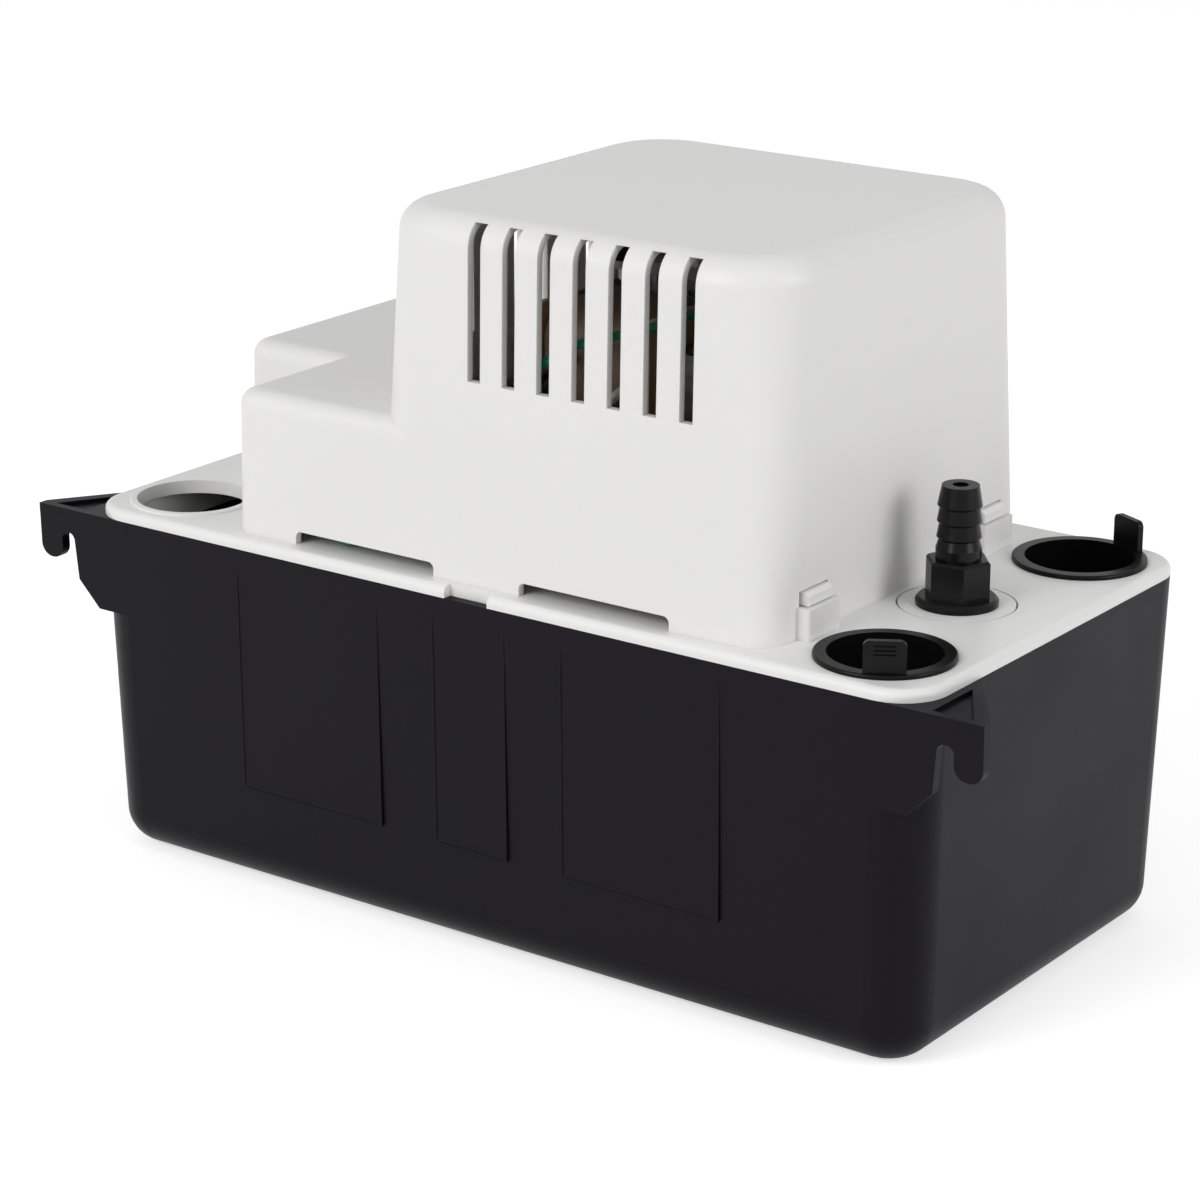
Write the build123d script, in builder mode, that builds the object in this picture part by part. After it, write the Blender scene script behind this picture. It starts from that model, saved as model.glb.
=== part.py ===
"""Condensate pump: a drafted reservoir, a deck that closes it, and the motor,
float switch and centrifugal pump that the deck carries.  Millimetres, +Z up.
The origin is the centre of the reservoir's underside, +X runs towards the
discharge fitting and -Y is the long side with the hanging ears."""

from math import asin, cos, pi, radians, sin, sqrt, tan
import os

from build123d import *

# ---------------------------------------------------------------- reservoir
tank_length = 247.2
tank_width = 125.6
tank_height = 89.7
tank_wall = 2.5
tank_floor = 2.6
tank_draft = 1.3
rim_radius = 12.0
floor_radius = 9.5
pad_draft = 0.6
pad_top_drop = 3.0
pad_bottom = 26.4
pad_spans = ((-72.8, -28.3), (-11.1, 10.3), (26.9, 71.5))

# hanging ears, in the plane of the front wall
ear_reach = 16.4
ear_plate = 2.6
ear_web = 2.4
ear_web_depth = 27.0
ear_leg = 7.4
ear_leg_drop = 14.0
ear_slot = 4.2
ear_slot_drop = 6.4
ear_corner_drop = 18.4
ear_chamfer_drop = 25.2
ear_chamfer_run = 6.6
ear_pocket_depth = 1.0
ear_pocket_border = 2.2
ear_slot_flare = 1.0
ear_rounding = 0.46

# ---------------------------------------------------------------- deck
deck_rise = 2.9
deck_edge_radius = 1.8
skirt_gap = 0.6
skirt_wall = 1.5
skirt_depth = 8.0
pry_slot_x = -1.0
pry_slot_length = 12.8
pry_slot_depth = 2.6
inlet_inset_x, inlet_inset_y = 19.6, 19.0
inlet_bore_radius = 14.3
collar_lip = 1.8
collar_rise = 0.6
collar_edge_radius = 0.5
# from the right and the side edge, then the turn of the tab
plug_insets = ((20.6, 19.4, -59.0), (19.9, 18.3, 65.0))
plug_hole_gap = 0.3

# ---------------------------------------------------------------- motor cover
cover_right_inset = 42.6
cover_side_inset = 4.6
tall_left = -34.4
wing_front_inset = 45.7
wing_rear_inset = 16.0
wing_rear_front = -19.6
cover_height = 87.7
wing_height = 36.4
cover_wall = 2.0
cover_draft = 1.2
cover_corner = 10.0
crown_corner = 20.0
wing_corner = 6.0
cover_top_radius = 7.0
wing_top_radius = 4.2
wing_root_radius = 3.0
vent_count = 7
vent_pitch = 10.0
vent_width = 3.7
vent_rise = 49.4
vent_top_drop = 1.2
vent_depth = 11.0
vent_centre_x = 27.8
base_vent_length = 43.0
base_vent_height = 3.4
base_vent_places = (-35.7, 32.8)
base_vent_radius = 1.6
cord_hole_x = -62.0
cord_hole_rise = 14.0

# snap latches on the cover's right face
latch_inset = 19.0
latch_length = 13.6
latch_rise = 7.6
latch_proud = 3.4
latch_radius = 1.0
latch_window = 3.6
hook_wall = 1.8
hook_reach = 2.0

# ---------------------------------------------------------------- inlet plugs
plug_flange_radius = 16.4
plug_flange = 1.1
plug_bore_radius = 13.3
plug_wall = 1.1
plug_depth = 10.0
plug_floor = 1.4
tab_width = 9.7
tab_height = 7.6
tab_wall = 1.5
tab_ridge = 0.5
tab_ridges = 3

# ---------------------------------------------------------------- discharge
discharge_inset, discharge_y = 27.0, -1.4
adapter_radius = 13.8
adapter_recess_gap = 0.5
adapter_plate = 1.9
adapter_neck_radius = 10.0
adapter_neck_depth = 12.0
adapter_bore_radius = 5.2
adapter_floor = 2.0
tube_bore_radius = 3.2
tube_wall = 1.5
nipple_length = 6.0
valve_flange_radius = 9.8
valve_flange = 1.9
valve_hex_corner_radius = 8.0
valve_hex_height = 9.2
valve_bore_radius = 1.9
valve_height = 28.8
flange_bevel = 0.8
hex_chamfer = 0.6
hex_turn = 10.0
tip_radius = 4.4
tip_length = 4.8
barb_lip = 0.6
shank_land = 2.6
valve_spigot_radius = 4.9
valve_spigot_depth = 8.2
shank_radius = 5.4
barb_radius = 5.3
barb_root_radius = 4.75
barb_count = 3
barb_pitch = 3.8
chamber_radius = 3.7
chamber_top_rise = 3.6
ball_radius = 3.0
ball_travel = 2.6
seat_radius = 2.0
seat_height = 2.4
oring_section = 0.6
oring_radius = 7.4

# ---------------------------------------------------------------- motor
motor_x, motor_y = 24.0, 6.0
post_height = 24.0
post_radius = 5.0
post_draft = 1.0
screw_reach = 24.5
screw_radius = 2.0
screw_head_radius = 3.9
screw_head_height = 2.4
screw_gap = 0.2
screw_bite = 8.0
bracket_plate = 3.0
bracket_stand = 7.2
bracket_width = 16.0
bracket_foot_radius = 4.6
hub_radius = 8.0
hub_height = 8.0
bearing_radius = 5.0
bearing_length = 7.0
stack_half_length = 31.0
stack_back = 23.0
stack_window_front = 28.0
stack_window_back = 17.6
window_half_length = 19.0
leg_width = 16.0
stack_corner = 3.0
rotor_radius = 15.6
air_gap = 0.5
end_ring = 3.0
shaft_radius = 3.0
shaft_clearance = 0.04
bobbin_gap = 0.2
bobbin_wall = 1.2
bobbin_flange = 1.4
coil_build = 7.4
coil_corner = 5.0
coil_length = 30.0
shading_x = 18.4
shading_ys = (6.0, 13.0)
shading_wire = 1.6
fan_radius = 33.0
fan_hub_radius = 7.5
fan_hub_height = 8.0
fan_blades = 6
fan_pitch = 28.0
fan_blade = 1.5
fan_root = 8.0
fan_tip = 21.0
fan_tip_radius = 4.0
fan_clearance = 1.2
fan_headroom = 2.1

# ---------------------------------------------------------------- pump
column_radius = 15.0
column_wall = 2.4
column_flange_radius = 21.0
column_flange = 3.0
column_port_radius = 3.0
volute_throat = 20.5
volute_growth = 6.5
spiral_steps = 8
volute_wall = 2.4
volute_bottom = 9.0
volute_chamber = 13.0
volute_plate = 2.6
volute_outlet_length = 12.0
intake_plate = 2.4
intake_radius = 8.5
foot_height = 3.2
foot_radius = 3.0
foot_circle = 17.0
foot_count = 3
foot_turn = 30.0
volute_screw_radius = 1.5
volute_screw_turns = (0.36, 0.62, 0.88)
volute_ear_radius = 3.4
volute_screw_bite = 7.0
impeller_radius = 18.0
impeller_plate = 1.6
impeller_hub_radius = 5.4
impeller_vanes = 6
vane_height = 8.0
vane_wall = 1.5
vane_sweep = 55.0
vane_root = 4.6
vane_bow = 0.6
impeller_gap = 1.2
riser_radius = 11.0
riser_back = 14.0
riser_climb = 20.0

# ---------------------------------------------------------------- float switch
pivot_x = -44.0
pivot_drop = 3.2
pin_radius = 1.6
pin_clearance = 0.06
pin_length = 26.0
ear_gap = 0.4
lug_wall = 3.0
arm_width = 4.6
arm_crank = 8.0
arm_foot = 2.0
arm_thickness = 12.0
arm_hub_length = 22.0
arm_hub_radius = 3.6
float_x, float_length, float_width, float_height = -78.0, 40.0, 76.0, 28.0
float_bottom = 20.0
float_radius = 5.0
paddle_rise = 20.0
paddle_wall = 2.2
paddle_width = 20.0
deck_slot_length, deck_slot_width = 13.0, 25.0
switch_left = -34.0
switch_depth, switch_thickness, switch_height = 16.0, 10.3, 28.0
switch_lift = 2.2
web_wall = 3.0
bracket_base = 2.0
switch_hole_radius = 1.5
lever_pivot_drop = 3.0
lever_length = 17.0
lever_wall = 0.8
lever_width = 4.4
lever_eye_radius = 1.3
lever_ear_wall = 1.2
case_chamfer = 0.5
screw_inset = 4.6
bracket_toe = 12.0
lever_stand = 2.4
button_radius = 1.2
button_stand = 3.4
button_travel = 1.8
button_drop = 8.0
blade_length, blade_width, blade_wall = 6.3, 4.8, 0.8
blade_drops = (6.0, 14.0, 22.0)

# ---------------------------------------------------------------- leads
lead_radius = 1.1
lead_bend = 3.5
# each point is X, Y and the rise above the deck's top
lead_routes = {
    "lead_green": (
        (-63.4, 50.0, 14.0),
        (-63.4, 36.0, 12.0),
        (-64.0, 8.0, 3.4),
        (-60.0, -34.0, 2.4),
        (-46.5, -53.6, 1.4),
        (-30.0, -46.0, 5.4),
        (-8.0, -52.4, 19.4),
        (14.0, -52.4, 55.4),
        (24.0, -52.0, 61.4),
        (42.0, -50.0, 67.4),
        (47.0, -42.0, 69.4),
        (47.0, -31.0, 68.4),
        (47.0, -31.0, 59.3),
    ),
    "lead_white": (
        (-60.6, 50.0, 14.0),
        (-60.6, 38.0, 12.0),
        (-40.0, 31.0, 5.4),
        (-9.2, 29.0, 5.4),
        (-9.2, -40.0, 9.4),
        (2.0, -49.0, 15.4),
        (28.0, -50.0, 45.4),
        (36.0, -48.0, 53.4),
    ),
    "lead_black": (
        (-11.7, -6.65, 24.2),
        (-6.0, -6.65, 24.2),
        (-6.0, -46.0, 27.4),
        (-2.0, -49.2, 35.4),
        (12.0, -49.2, 51.4),
        (20.0, -47.9, 57.4),
    ),
}
gland_radius = 6.0
gland_bore_radius = 4.0
gland_flange_radius = 8.0
gland_flange = 1.6
gland_length = 8.0
face_gap = 0.3

# ---------------------------------------------------------------- places
half_length, half_width = tank_length / 2, tank_width / 2
inlet_x, inlet_y = inlet_inset_x - half_length, inlet_inset_y - half_width
plug_places = [
    (half_length - across, side * (half_width - along), turn)
    for side, (across, along, turn) in zip((-1, 1), plug_insets)
]
discharge_x = half_length - discharge_inset
cover_right = half_length - cover_right_inset
cover_half_width = half_width - cover_side_inset
wing_front_left = wing_front_inset - half_length
wing_rear_left = wing_rear_inset - half_length
latch_y = cover_half_width - latch_inset

# ---------------------------------------------------------------- heights
deck_top = tank_height + deck_rise
cover_top = deck_top + cover_height
wing_top = deck_top + wing_height
vent_bottom = deck_top + vent_rise
motor_floor = deck_top + post_height
# the stack fills what the posts, brackets and fan leave under the cover's roof
motor_fittings = post_height + bracket_plate + 2 * bracket_stand + hub_height
stack_height = cover_height - cover_wall - motor_fittings - fan_clearance - fan_hub_height - fan_headroom
stack_bottom = motor_floor + bracket_plate + bracket_stand
stack_top = stack_bottom + stack_height
bridge_bottom = stack_top + bracket_stand
bridge_top = bridge_bottom + bracket_plate
fan_bottom = bridge_top + hub_height - bracket_plate + fan_clearance
volute_ceiling = volute_bottom + volute_chamber
volute_top = volute_ceiling + volute_plate
pivot_z = tank_height - pivot_drop
switch_bottom = deck_top + switch_lift
switch_top = switch_bottom + switch_height
front_face = Plane(
    origin=(0, -tank_width / 2, tank_height),
    x_dir=(1, 0, 0),
    z_dir=(0, -cos(radians(tank_draft)), -sin(radians(tank_draft))),
)

os.makedirs("parts", exist_ok=True)


def save(part, name):
    """Label a finished piece and write it to its own file."""
    part.label = name
    export_step(part, f"parts/{name}.step")


def ring_points(count, radius, start=0.0):
    """Points spread evenly round a circle."""
    return [
        (radius * cos(radians(start) + 2 * pi * i / count), radius * sin(radians(start) + 2 * pi * i / count))
        for i in range(count)
    ]


# ================================================================ reservoir
wall_slope = tan(radians(tank_draft))


def drafted_tub(inset, depth, edge_radius):
    """The reservoir's outline at the rim, inset, drawn down with the draft."""
    rim = Plane(origin=(0, 0, tank_height), x_dir=(1, 0, 0), z_dir=(0, 0, -1))
    with BuildPart() as tub:
        with BuildSketch(rim):
            Rectangle(tank_length - 2 * inset, tank_width - 2 * inset)
        extrude(amount=depth, taper=tank_draft)
        fillet(tub.edges().filter_by(lambda edge: edge.bounding_box().size.Z > depth / 2), rim_radius - inset)
        fillet(tub.faces().sort_by(Axis.Z)[0].edges(), edge_radius)
    return tub.part


tub_outer = drafted_tub(0, tank_height, floor_radius)
tub_inner = drafted_tub(tank_wall, tank_height - tank_floor, floor_radius - tank_wall)
ear_tip = half_length + ear_reach
slot_outer = ear_tip - ear_leg
slot_inner = slot_outer - ear_slot
ear_root = half_length - rim_radius - ear_pocket_border


# hanging ear: a slotted plate in the plane of the front wall
with BuildPart() as ear_right:
    with BuildSketch(front_face) as outline:
        with BuildLine():
            Polyline(
                (ear_root, 0),
                (ear_tip, 0),
                (ear_tip, -ear_leg_drop),
                (slot_outer, -ear_leg_drop),
                (slot_outer, -ear_slot_drop),
                (slot_inner, -ear_slot_drop),
                (slot_inner - ear_slot_flare, -ear_corner_drop),
                (slot_inner - ear_slot_flare - ear_chamfer_run, -ear_chamfer_drop),
                (ear_root, -ear_chamfer_drop),
                close=True,
            )
        make_face()
        fillet(outline.vertices().filter_by(lambda v: abs(v.Y + ear_leg_drop) < face_gap), ear_leg * ear_rounding)
        fillet(outline.vertices().filter_by(lambda v: abs(v.Y + ear_slot_drop) < face_gap), ear_slot * ear_rounding)
    extrude(amount=-ear_plate)
    # flat web behind the plate, with a shallow pocket in its top
    with BuildSketch(Plane.XY.offset(tank_height)):
        with BuildLine():
            Polyline(
                (ear_root, -half_width),
                (ear_tip, -half_width),
                (ear_tip, -half_width + ear_plate),
                (half_length, -half_width + ear_web_depth),
                (half_length - rim_radius, -half_width + ear_web_depth),
                close=True,
            )
        make_face()
    extrude(amount=-ear_web)
    with BuildSketch(Plane.XY.offset(tank_height)):
        with BuildLine():
            Polyline(
                (half_length, -half_width),
                (ear_tip, -half_width),
                (half_length, -half_width + ear_web_depth),
                close=True,
            )
        make_face()
        offset(amount=-ear_pocket_border, mode=Mode.REPLACE)
    extrude(amount=-ear_pocket_depth, mode=Mode.SUBTRACT)
    split(bisect_by=Plane.XY.offset(tank_height), keep=Keep.BOTTOM)

with BuildPart() as tank:
    add(tub_outer)
    add(ear_right.part)
    mirror(ear_right.part, about=Plane.YZ)
    # pads on the front wall stand prouder towards the floor
    pad_top = tank_height - pad_top_drop
    wall_top = -half_width + pad_top_drop * wall_slope
    wall_foot = wall_top + (pad_top - pad_bottom) * wall_slope
    pad_foot = wall_top + (pad_top - pad_bottom) * tan(radians(pad_draft))
    for start, end in pad_spans:
        with BuildSketch(Plane.YZ.offset(start)):
            with BuildLine():
                Polyline(
                    (wall_top, pad_top),
                    (pad_foot, pad_bottom),
                    (wall_foot + tank_wall / 2, pad_bottom),
                    (wall_top + tank_wall / 2, pad_top),
                    close=True,
                )
            make_face()
        extrude(amount=end - start)
    add(tub_inner, mode=Mode.SUBTRACT)
save(tank.part, "tank")


# ================================================================ deck
skirt_inset = tank_wall + skirt_gap
plug_hole_radius = plug_bore_radius + plug_wall + plug_hole_gap
motor_axis = (motor_x, motor_y)
post_places = [(motor_x - screw_reach, motor_y), (motor_x + screw_reach, motor_y)]
lug_start = arm_hub_length / 2 + ear_gap
hook_face = cover_right - cover_wall - face_gap
hook_top = deck_top + latch_rise + latch_window - face_gap

with BuildPart() as deck:
    with BuildSketch(Plane.XY.offset(tank_height)):
        RectangleRounded(tank_length, tank_width, rim_radius)
    extrude(amount=deck_rise)
    fillet(deck.faces().sort_by(Axis.Z)[-1].edges(), deck_edge_radius)
    # skirt that drops inside the rim, and the lip of the open inlet
    with BuildSketch(Plane.XY.offset(tank_height)):
        RectangleRounded(tank_length - 2 * skirt_inset, tank_width - 2 * skirt_inset, rim_radius - skirt_inset)
        offset(amount=-skirt_wall, kind=Kind.INTERSECTION, mode=Mode.SUBTRACT)
    extrude(amount=-skirt_depth)
    with BuildSketch(Plane.XY.offset(deck_top)):
        with Locations((inlet_x, inlet_y)):
            Circle(inlet_bore_radius + collar_lip)
    extrude(amount=collar_rise)
    fillet(deck.faces().sort_by(Axis.Z)[-1].edges(), collar_edge_radius)
    # posts under the motor
    with BuildSketch(Plane.XY.offset(deck_top)):
        with Locations(*post_places):
            Circle(post_radius)
    extrude(amount=post_height, taper=post_draft)
    # lugs under the deck carry the float's pivot pin
    for side in (1, -1):
        lug_plane = Plane(origin=(0, side * lug_start, 0), x_dir=(1, 0, 0), z_dir=(0, side, 0))
        with BuildSketch(lug_plane):
            with Locations(lug_plane.to_local_coords(Vector(pivot_x, side * lug_start, pivot_z))):
                Circle(arm_hub_radius)
            with Locations(lug_plane.to_local_coords(Vector(pivot_x, side * lug_start, tank_height - pivot_drop / 2))):
                Rectangle(2 * arm_hub_radius, pivot_drop)
        extrude(amount=lug_wall)
    with Locations(Plane(origin=(pivot_x, 0, pivot_z), x_dir=(1, 0, 0), z_dir=(0, -1, 0))):
        Hole(pin_radius + pin_clearance / 2, depth=half_width)
    # snap hooks that reach through the cover's windows
    for side in (1, -1):
        hook_width = latch_length - 2 * hook_wall
        with BuildSketch(Plane.XZ.offset(-side * latch_y - hook_width / 2)):
            with BuildLine():
                Polyline(
                    (hook_face - hook_wall, deck_top),
                    (hook_face, deck_top),
                    (hook_face, deck_top + latch_rise + face_gap),
                    (cover_right + hook_reach, deck_top + latch_rise + face_gap),
                    (cover_right + hook_reach, hook_top - hook_wall / 2),
                    (cover_right + hook_reach - hook_wall / 2, hook_top),
                    (hook_face - hook_wall, hook_top),
                    close=True,
                )
            make_face()
        extrude(amount=hook_width)
    # openings: inlet, plugs, discharge adapter, pump column and float paddle
    with BuildSketch(Plane.XY.offset(deck_top + collar_rise)):
        with Locations((inlet_x, inlet_y)):
            Circle(inlet_bore_radius)
        with Locations(*[(x, y) for x, y, _ in plug_places]):
            Circle(plug_hole_radius)
        with Locations((discharge_x, discharge_y)):
            Circle(adapter_neck_radius + face_gap)
        with Locations(motor_axis):
            Circle(column_radius - column_wall)
        with Locations((pivot_x, 0)):
            RectangleRounded(deck_slot_length, 2 * lug_start, pin_radius)
    extrude(amount=-skirt_depth - deck_rise - collar_rise, mode=Mode.SUBTRACT)
    with BuildSketch(Plane.XY.offset(deck_top)):
        with Locations((discharge_x, discharge_y)):
            Circle(adapter_radius + adapter_recess_gap)
    extrude(amount=-adapter_plate, mode=Mode.SUBTRACT)
    # slot in the front edge for prying the deck off
    with BuildSketch(Plane.XY.offset(deck_top)):
        with Locations((pry_slot_x, -half_width)):
            Rectangle(pry_slot_length, 2 * pry_slot_depth)
    extrude(amount=-deck_rise, mode=Mode.SUBTRACT)
    # screw pilot holes in the posts
    with Locations(*[(x, y, motor_floor) for x, y in post_places]):
        Hole(screw_radius, depth=screw_bite)
save(deck.part, "deck")


# ================================================================ motor cover
cover_slope = tan(radians(cover_draft))
hood_middle = (tall_left + cover_right) / 2


def hood(inset):
    """The cover's outer form, or its cavity when inset by the wall."""
    half = cover_half_width - inset
    front_left, rear_left, step = wing_front_left + inset, wing_rear_left + inset, wing_rear_front + inset
    with BuildPart() as wing:
        with BuildSketch(Plane.XY.offset(deck_top)) as plan:
            with BuildLine():
                Polyline(
                    (front_left, -half),
                    (hood_middle, -half),
                    (hood_middle, half),
                    (rear_left, half),
                    (rear_left, step),
                    (front_left, step),
                    close=True,
                )
            make_face()
            left = plan.vertices().filter_by(lambda v: v.X < tall_left)
            root = left.filter_by(lambda v: v.X > rear_left + inset and v.Y > step - inset - face_gap)
            fillet(left - root, wing_corner - inset)
            fillet(plan.vertices().filter_by(lambda v: v in root), wing_root_radius + inset)
        extrude(amount=wing_top - deck_top - inset, taper=cover_draft)
        fillet(wing.faces().sort_by(Axis.Z)[-1].edges(), wing_top_radius - inset)
    with BuildPart() as tall:
        for level, lean, corner in (
            (deck_top, 0, cover_corner),
            (cover_top - inset, (cover_top - deck_top) * cover_slope, crown_corner),
        ):
            with BuildSketch(Plane.XY.offset(level)):
                with Locations((hood_middle, 0)):
                    RectangleRounded(cover_right - tall_left - 2 * inset, 2 * (half - lean), corner - inset)
        loft(ruled=True)
        fillet(tall.faces().sort_by(Axis.Z)[-1].edges(), cover_top_radius - inset)
    return wing.part, tall.part


vent_height = cover_top - vent_top_drop - vent_bottom
vent_middle = vent_bottom + vent_height / 2
left_wall = Plane.YZ.offset(tall_left)
front_wall = Plane.XZ.offset(cover_half_width)
rear_wall = Plane.XZ.offset(-cover_half_width)

with BuildPart() as motor_cover:
    for form in hood(0):
        add(form)
    for form in hood(cover_wall):
        add(form, mode=Mode.SUBTRACT)
    # vents that wrap over the top edge, on the two long sides and the left wall
    for wall, centre, way in ((front_wall, vent_centre_x, -1), (rear_wall, vent_centre_x, 1), (left_wall, 0, 1)):
        with BuildSketch(wall):
            with Locations((centre, vent_middle)):
                with GridLocations(vent_pitch, vent_height, vent_count, 1):
                    Rectangle(vent_width, vent_height)
        extrude(amount=way * vent_depth, mode=Mode.SUBTRACT)
    # low vents along the base
    for wall, way in ((front_wall, -1), (rear_wall, 1)):
        with BuildSketch(wall):
            with Locations(*[(x, deck_top) for x in base_vent_places]):
                RectangleRounded(base_vent_length, 2 * base_vent_height, base_vent_radius)
        extrude(amount=2 * way * cover_wall, mode=Mode.SUBTRACT)
    # latch bulges outside the right wall and the windows above them
    for side in (1, -1):
        with BuildSketch(Plane.XY.offset(deck_top)):
            with Locations((cover_right - cover_wall / 2 + latch_proud / 2, side * latch_y)):
                RectangleRounded(cover_wall / 2 + latch_proud + cover_wall / 2, latch_length, latch_radius)
        extrude(amount=latch_rise)
        with BuildSketch(Plane.YZ.offset(hook_face - hook_wall)):
            with Locations((side * latch_y, deck_top + latch_rise + latch_window / 2)):
                Rectangle(latch_length - hook_wall, latch_window)
        extrude(amount=2 * latch_proud + cover_wall, mode=Mode.SUBTRACT)
        with BuildSketch(Plane.XY.offset(deck_top)):
            with Locations((hook_face - hook_wall, side * latch_y)):
                Rectangle(2 * hook_wall + 2 * face_gap, latch_length)
        extrude(amount=latch_rise, mode=Mode.SUBTRACT)
    # round hole for the supply cord's gland
    with BuildSketch(rear_wall):
        with Locations((cord_hole_x, deck_top + cord_hole_rise)):
            Circle(gland_radius + pin_clearance)
    extrude(amount=2 * cover_wall, mode=Mode.SUBTRACT)
save(motor_cover.part, "motor_cover")


# ================================================================ inlet plugs
def inlet_plug(x, y, angle):
    """A shallow cup with a flange and a pull tab that stands on its edge."""
    flange_top = deck_top + plug_flange
    outward = (cos(radians(angle)), sin(radians(angle)), 0)
    tab_reach = plug_bore_radius + plug_wall + tab_wall / 2
    tab_plane = Plane(
        origin=(x + tab_reach * outward[0], y + tab_reach * outward[1], flange_top),
        x_dir=(-outward[1], outward[0], 0),
        z_dir=outward,
    )
    with BuildPart() as plug:
        with BuildSketch(Plane.XY.offset(deck_top)):
            with Locations((x, y)):
                Circle(plug_flange_radius)
        extrude(amount=plug_flange)
        fillet(plug.edges().sort_by(Axis.Z)[-1], plug_flange / 2)
        with BuildSketch(Plane.XY.offset(deck_top)):
            with Locations((x, y)):
                Circle(plug_bore_radius + plug_wall)
        extrude(amount=-plug_depth)
        with BuildSketch(tab_plane) as tab:
            with Locations((0, -plug_flange / 2)):
                Rectangle(tab_width, tab_height + plug_flange / 2, align=(Align.CENTER, Align.MIN))
            fillet(tab.vertices().group_by(Axis.Y)[-1], tab_wall)
        extrude(amount=-tab_wall)
        with BuildSketch(tab_plane):
            for i in range(tab_ridges):
                with Locations((0, tab_height - (i + 1) * 2 * tab_ridge - tab_ridge)):
                    Rectangle(tab_width / 2, tab_ridge)
        extrude(amount=tab_ridge)
        with BuildSketch(Plane.XY.offset(flange_top)):
            with Locations((x, y)):
                Circle(plug_bore_radius)
        extrude(amount=-(plug_depth + plug_flange - plug_floor), mode=Mode.SUBTRACT)
    return plug.part


for name, place in zip(("inlet_plug_front", "inlet_plug_rear"), plug_places):
    save(inlet_plug(*place), name)


# ================================================================ discharge
discharge_axis = Axis((discharge_x, discharge_y, 0), (0, 0, 1))
discharge_plane = Plane(origin=(discharge_x, discharge_y, deck_top), x_dir=(1, 0, 0), z_dir=(0, -1, 0))
adapter_bottom = deck_top - adapter_plate - adapter_neck_depth


def turned(points, plane, axis):
    """A solid of revolution from its half profile."""
    with BuildPart() as piece:
        with BuildSketch(plane):
            with BuildLine():
                Polyline(*points, close=True)
            make_face()
        revolve(axis=axis)
    return piece.part


neck_end = -adapter_plate - adapter_neck_depth
save(
    turned(
        (
            (adapter_bore_radius, 0),
            (adapter_radius, 0),
            (adapter_radius, -adapter_plate),
            (adapter_neck_radius, -adapter_plate),
            (adapter_neck_radius, neck_end),
            (tube_bore_radius - pin_clearance, neck_end),
            (tube_bore_radius - pin_clearance, neck_end - nipple_length),
            (valve_bore_radius, neck_end - nipple_length),
            (valve_bore_radius, neck_end + adapter_floor),
            (adapter_bore_radius, neck_end + adapter_floor),
        ),
        discharge_plane,
        discharge_axis,
    ),
    "discharge_adapter",
)

hex_top = valve_flange + valve_hex_height
barb_points = [(valve_bore_radius, valve_height), (tip_radius, valve_height)]
for i in range(barb_count):
    edge = valve_height - tip_length - i * barb_pitch
    barb_points += [(barb_radius, edge), (barb_root_radius, edge - barb_lip)]
with BuildPart() as check_valve_body:
    add(
        turned(
            (
                *barb_points,
                (shank_radius, hex_top + shank_land),
                (shank_radius, valve_flange),
                (valve_flange_radius - flange_bevel, valve_flange),
                (valve_flange_radius, valve_flange - flange_bevel),
                (valve_flange_radius, 0),
                (valve_spigot_radius, 0),
                (valve_spigot_radius, -valve_spigot_depth),
                (chamber_radius, -valve_spigot_depth),
                (chamber_radius, chamber_top_rise),
                (valve_bore_radius, chamber_top_rise + chamber_radius - valve_bore_radius),
            ),
            discharge_plane,
            discharge_axis,
        )
    )
    with BuildSketch(Plane.XY.offset(deck_top + valve_flange)):
        with Locations((discharge_x, discharge_y)):
            RegularPolygon(valve_hex_corner_radius, 6, rotation=hex_turn)
            Circle(shank_radius - pin_clearance, mode=Mode.SUBTRACT)
    extrude(amount=valve_hex_height)
    chamfer(check_valve_body.faces().filter_by(Axis.Z).filter_by_position(
        Axis.Z, deck_top + hex_top - face_gap, deck_top + hex_top + face_gap
    ).edges().filter_by(GeomType.LINE), hex_chamfer)
    with BuildSketch(Plane.XY.offset(deck_top)):
        with Locations((discharge_x, discharge_y)):
            Circle(oring_radius + oring_section)
            Circle(oring_radius - oring_section, mode=Mode.SUBTRACT)
    extrude(amount=2 * oring_section, mode=Mode.SUBTRACT)
save(check_valve_body.part, "check_valve_body")

with BuildPart() as check_valve_seal:
    with Locations((discharge_x, discharge_y, deck_top + oring_section)):
        Torus(oring_radius, oring_section - pin_clearance)
save(check_valve_seal.part, "check_valve_seal")

save(
    turned(
        (
            (seat_radius, -valve_spigot_depth),
            (chamber_radius - pin_clearance, -valve_spigot_depth),
            (chamber_radius - pin_clearance, seat_height - valve_spigot_depth),
            (seat_radius, seat_height - valve_spigot_depth),
        ),
        discharge_plane,
        discharge_axis,
    ),
    "check_valve_seat",
)
ball_rise = seat_height - valve_spigot_depth + sqrt(ball_radius**2 - seat_radius**2) + pin_clearance
with BuildPart() as check_ball:
    with Locations((discharge_x, discharge_y, deck_top + ball_rise)):
        Sphere(ball_radius)
save(check_ball.part, "check_ball")


# ================================================================ motor
screw_hole_radius = screw_radius + screw_gap
stack_front = stack_window_front + leg_width
leg_centre = (motor_y - stack_window_front - leg_width / 2, stack_bottom + stack_height / 2)
leg_plane = Plane.YZ.offset(motor_x)
shading_slots = [(side * shading_x, -side * y) for side in (1, -1) for y in shading_ys]

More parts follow.
